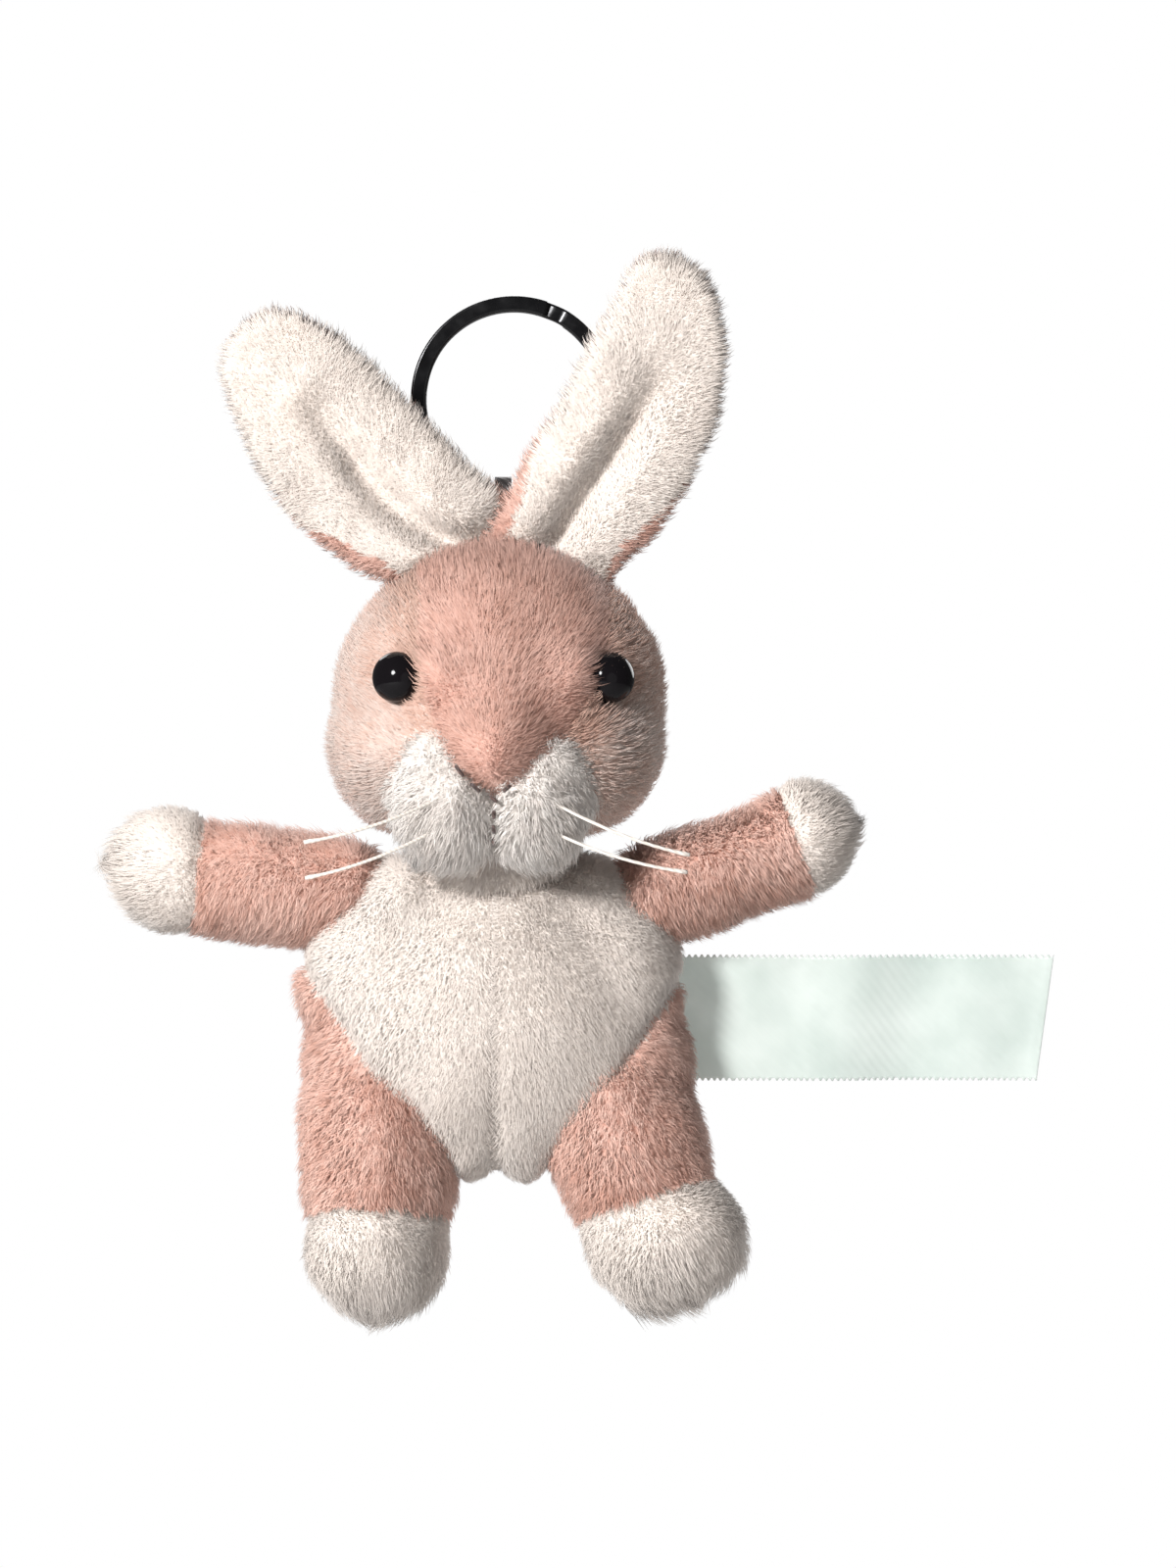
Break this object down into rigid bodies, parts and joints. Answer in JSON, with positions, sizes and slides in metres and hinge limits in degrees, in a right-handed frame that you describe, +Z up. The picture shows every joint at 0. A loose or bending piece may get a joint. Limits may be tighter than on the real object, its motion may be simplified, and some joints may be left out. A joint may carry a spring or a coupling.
{
  "type": "plush rabbit keychain",
  "caption": "Small plush rabbit with long ears, stuffed jointed limbs, thread whiskers and a side ribbon, hung by a tape loop from a split ring.",
  "frame": {"origin": "the hanging loop at the crown, where it holds the split ring", "axes": "+Z up, face towards -Y, +X to the right of someone looking at the face"},
  "size_m": [0.114, 0.0414, 0.1289],
  "materials": {
    "plush_tan": "pink-tan polyester plush, 2 to 3 mm pile",
    "plush_peach": "pale peach polyester plush, short pile",
    "plush_cream": "cream polyester plush, 2 to 4 mm pile",
    "stuffing": "loose polyester fibre",
    "eye_plastic": "polished black",
    "washer_plastic": "natural white moulded",
    "nose_thread": "dark brown embroidery thread",
    "whisker_thread": "white waxed thread",
    "loop_tape": "black woven cotton tape",
    "ring_metal": "black nickel plated, polished",
    "ribbon_satin": "pale satin ribbon with a picot edge"
  },
  "bodies": {
    "head": {"head_gusset": "plush_tan", "head_side_left": "plush_peach", "head_side_right": "plush_peach", "head_back": "plush_tan", "head_stuffing": "stuffing", "muzzle_left": "plush_cream", "muzzle_right": "plush_cream", "muzzle_stuffing_left": "stuffing", "muzzle_stuffing_right": "stuffing", "eye_left": "eye_plastic", "eye_right": "eye_plastic", "eye_washer_left": "washer_plastic", "eye_washer_right": "washer_plastic", "nose_stitches": "nose_thread", "whisker_upper_left": "whisker_thread", "whisker_lower_left": "whisker_thread", "whisker_upper_right": "whisker_thread", "whisker_lower_right": "whisker_thread"},
    "loop": {"hanging_loop": "loop_tape"},
    "ring": {"split_ring": "ring_metal"},
    "ear_left": {"ear_left_lining": "plush_cream", "ear_left_back": "plush_tan"},
    "ear_right": {"ear_right_lining": "plush_cream", "ear_right_back": "plush_tan"},
    "neck": {"neck_skin": "plush_tan", "neck_stuffing": "stuffing"},
    "torso": {"belly_left": "plush_cream", "belly_right": "plush_cream", "back_left": "plush_tan", "back_right": "plush_tan", "torso_stuffing": "stuffing", "tail": "plush_cream"},
    "arm_left": {"arm_left_sleeve": "plush_tan", "arm_left_paw": "plush_cream", "arm_left_stuffing": "stuffing"},
    "arm_right": {"arm_right_sleeve": "plush_tan", "arm_right_paw": "plush_cream", "arm_right_stuffing": "stuffing"},
    "leg_left": {"leg_left_sleeve": "plush_tan", "leg_left_foot": "plush_cream", "leg_left_stuffing": "stuffing"},
    "leg_right": {"leg_right_sleeve": "plush_tan", "leg_right_foot": "plush_cream", "leg_right_stuffing": "stuffing"},
    "label": {"label_ribbon": "ribbon_satin"}
  },
  "joints": [
    {"name": "loop_flop", "type": "hinge", "parent": "head", "child": "loop", "pos_m": [0, 0, -0.006], "axis": [1, 0, 0], "range_deg": [-75, 8]},
    {"name": "ring_spin", "type": "hinge", "parent": "loop", "child": "ring", "pos_m": [0.0013, 0, 0.0123], "axis": [0, 1, 0], "continuous": true},
    {"name": "ear_left_flop", "type": "hinge", "parent": "head", "child": "ear_left", "pos_m": [-0.0063, -0.0055, -0.0066], "axis": [0.7986, 0, 0.6018], "range_deg": [-8, 24], "stiffness_Nm_per_rad": 0.01},
    {"name": "ear_right_flop", "type": "hinge", "parent": "head", "child": "ear_right", "pos_m": [0.0064, -0.0055, -0.0068], "axis": [0.9304, 0, -0.3665], "range_deg": [-8, 24], "stiffness_Nm_per_rad": 0.01},
    {"name": "neck_nod", "type": "hinge", "parent": "head", "child": "neck", "pos_m": [-0.0008, -0.004, -0.0433], "axis": [1, 0, 0], "range_deg": [-12, 15], "stiffness_Nm_per_rad": 0.15},
    {"name": "neck_turn", "type": "hinge", "parent": "neck", "child": "torso", "pos_m": [-0.0008, -0.004, -0.0433], "axis": [0, 0, 1], "range_deg": [-25, 25], "stiffness_Nm_per_rad": 0.1},
    {"name": "arm_left_raise", "type": "hinge", "parent": "torso", "child": "arm_left", "pos_m": [-0.0198, -0.003, -0.0475], "axis": [0, 1, 0], "range_deg": [-15, 25], "stiffness_Nm_per_rad": 0.03},
    {"name": "arm_right_raise", "type": "hinge", "parent": "torso", "child": "arm_right", "pos_m": [0.0186, -0.003, -0.0475], "axis": [0, -1, 0], "range_deg": [-15, 25], "stiffness_Nm_per_rad": 0.03},
    {"name": "leg_left_swing", "type": "hinge", "parent": "torso", "child": "leg_left", "pos_m": [-0.0146, -0.005, -0.074], "axis": [-1, 0, 0], "range_deg": [-15, 60], "stiffness_Nm_per_rad": 0.05},
    {"name": "leg_right_swing", "type": "hinge", "parent": "torso", "child": "leg_right", "pos_m": [0.0134, -0.005, -0.073], "axis": [-1, 0, 0], "range_deg": [-15, 60], "stiffness_Nm_per_rad": 0.05},
    {"name": "label_swing", "type": "hinge", "parent": "torso", "child": "label", "pos_m": [0.0199, 0.0015, -0.0628], "axis": [0, 0, 1], "range_deg": [-45, 45], "stiffness_Nm_per_rad": 0.001}
  ]
}
